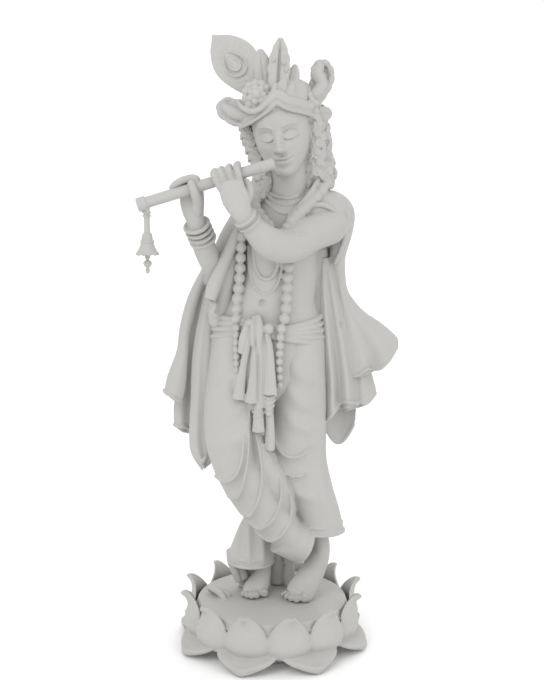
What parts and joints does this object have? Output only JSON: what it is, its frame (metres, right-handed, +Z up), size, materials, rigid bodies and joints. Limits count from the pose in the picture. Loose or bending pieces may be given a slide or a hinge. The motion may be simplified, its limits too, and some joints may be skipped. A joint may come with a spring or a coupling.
{
  "type": "cast figure on a lotus plinth",
  "caption": "Cast stone figure of a standing flute player in a draped cloak and leaf crown, on a round lotus plinth.",
  "frame": {"origin": "centre of the plinth's flat underside", "axes": "+Z up; the figure faces -Y; its left side is towards +X"},
  "size_m": [0.2484, 0.1962, 0.6012],
  "materials": {
    "cast_stone": "matt marble-dust resin, as cast"
  },
  "bodies": {
    "root": {"figure": "cast_stone", "lotus_plinth": "cast_stone", "flute": "cast_stone"}
  },
  "joints": []
}
